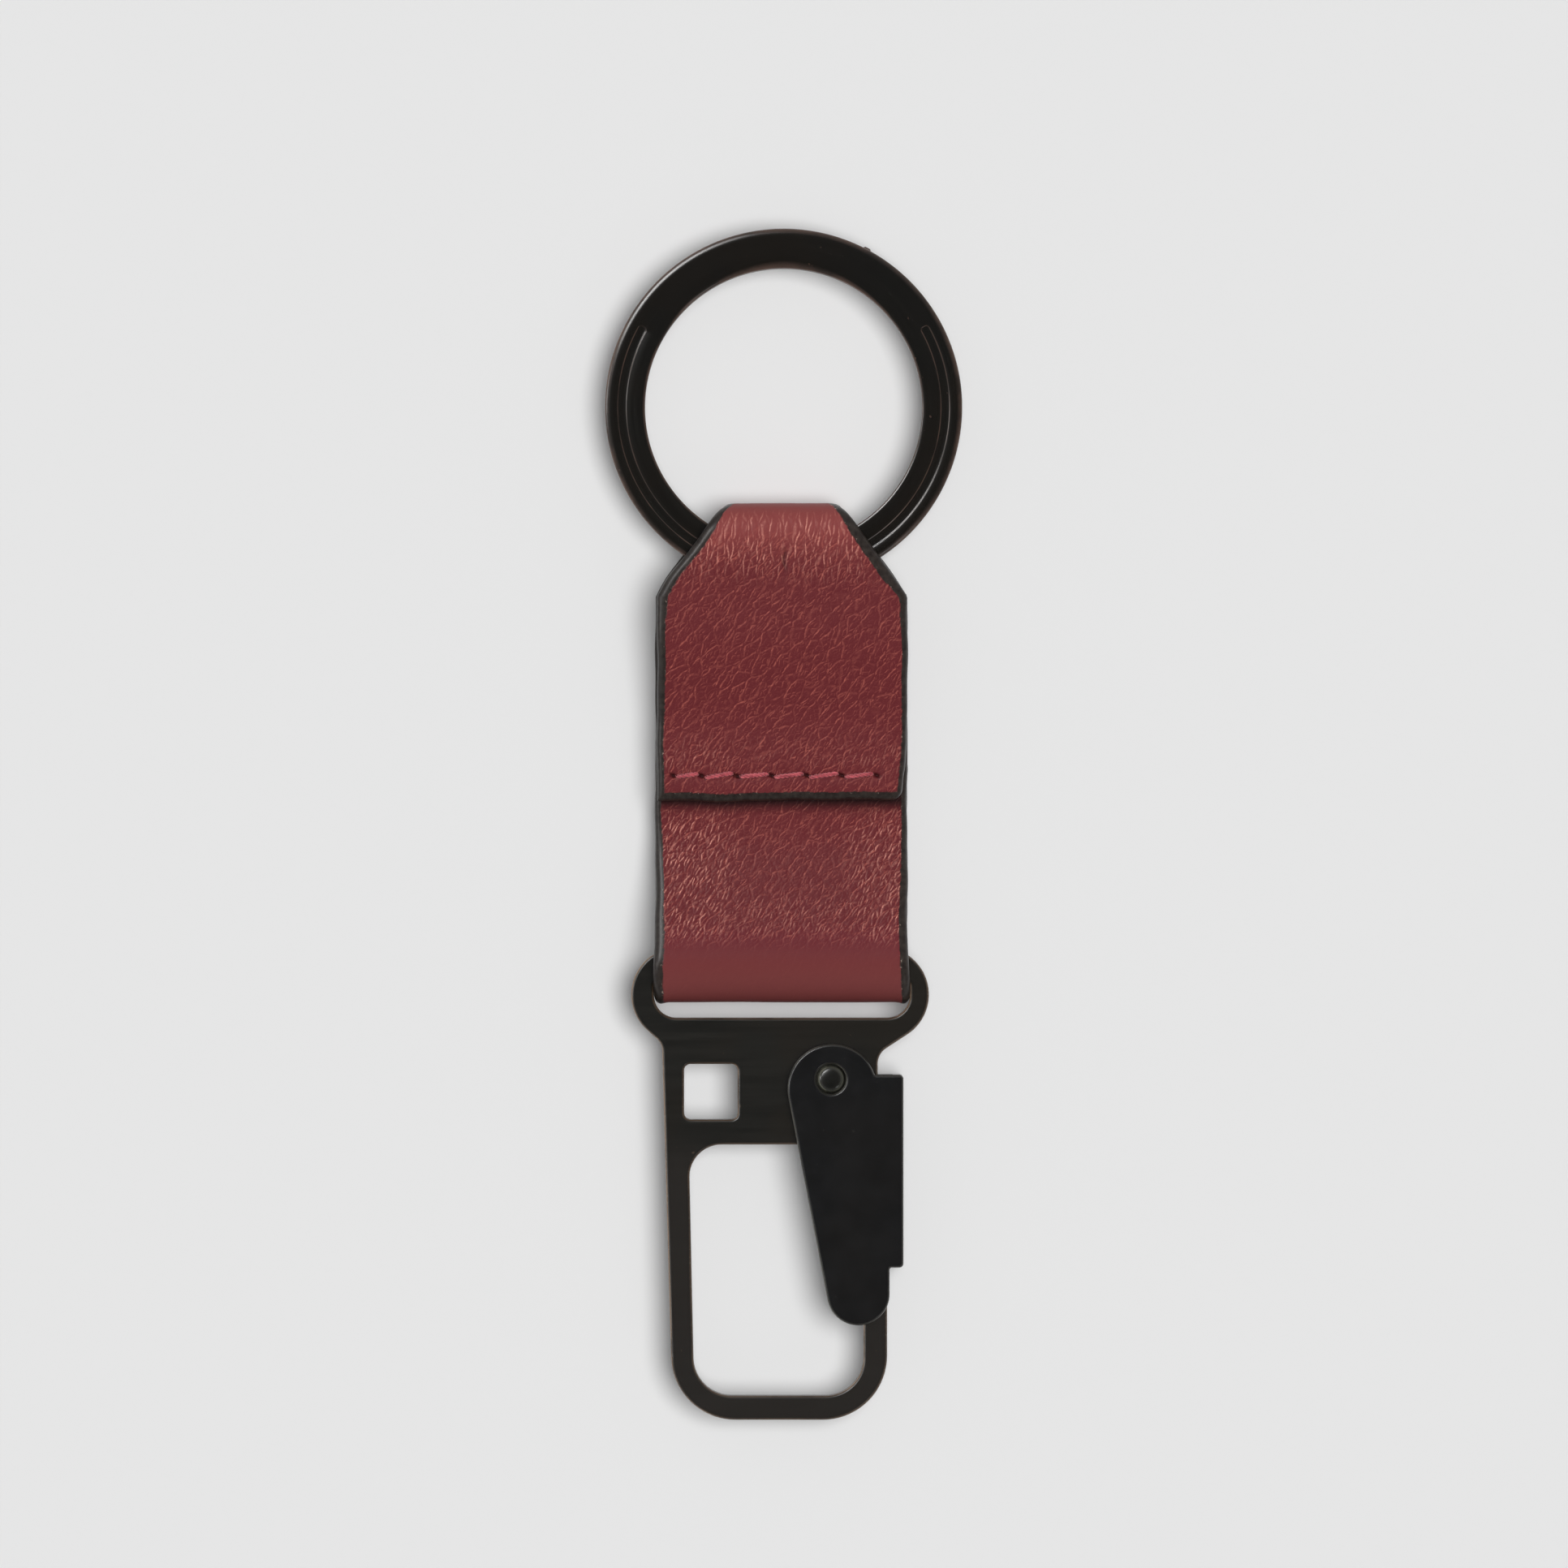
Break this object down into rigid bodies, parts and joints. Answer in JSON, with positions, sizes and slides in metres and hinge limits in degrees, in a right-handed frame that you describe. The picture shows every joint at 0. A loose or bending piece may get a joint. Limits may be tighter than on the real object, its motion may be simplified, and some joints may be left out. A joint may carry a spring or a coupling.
{
  "type": "leather carabiner keychain",
  "caption": "Flat leather key fob: a folded, stitched strap joins a split key ring, which turns in its loop, to a flat black snap hook with a spring-closed gate.",
  "frame": {"origin": "middle of the footprint, on the plane that the leather lies on", "axes": "+Y towards the key ring, +Z out of the front face, +X to the right seen from the front"},
  "size_m": [0.03, 0.1, 0.0061],
  "materials": {
    "burgundy_leather": "pebbled burgundy grain with grey painted edges",
    "red_thread": "twisted sewing thread",
    "black_ring_steel": "satin black, slightly warm",
    "black_plate_steel": "satin warm black",
    "black_gate_steel": "satin black",
    "dark_pin_steel": "blackened, worn a little bright at the rim",
    "spring_steel": "bare spring wire"
  },
  "bodies": {
    "strap": {"leather_strap": "burgundy_leather", "leather_flap": "burgundy_leather", "needle_thread": "red_thread", "bobbin_thread": "red_thread"},
    "ring_loop": {"leather_loop": "burgundy_leather", "leather_neck_front": "burgundy_leather", "leather_neck_back": "burgundy_leather"},
    "key_ring": {"key_ring": "black_ring_steel"},
    "hook": {"hook_plate": "black_plate_steel", "pivot_pin": "dark_pin_steel", "torsion_spring": "spring_steel"},
    "gate": {"gate": "black_gate_steel"}
  },
  "joints": [
    {"name": "strap_flex", "type": "hinge", "parent": "strap", "child": "ring_loop", "pos_m": [0, 0.01566, 0.0028], "axis": [1, 0, 0], "range_deg": [-75, 75], "stiffness_Nm_per_rad": 0.03, "deforming": ["leather_neck_front", "leather_neck_back"]},
    {"name": "ring_spin", "type": "hinge", "parent": "ring_loop", "child": "key_ring", "pos_m": [0, 0.035, 0.0028], "axis": [0, 0, 1], "continuous": true},
    {"name": "hook_swing", "type": "hinge", "parent": "strap", "child": "hook", "pos_m": [0, -0.0119, 0.00306], "axis": [1, 0, 0], "range_deg": [-130, 112]},
    {"name": "gate_swing", "type": "hinge", "parent": "hook", "child": "gate", "pos_m": [0.00396, -0.02137, 0.00306], "axis": [0, 0, -1], "range_deg": [0, 26], "stiffness_Nm_per_rad": 0.03, "springref_deg": -29.79, "deforming": ["torsion_spring"]}
  ]
}
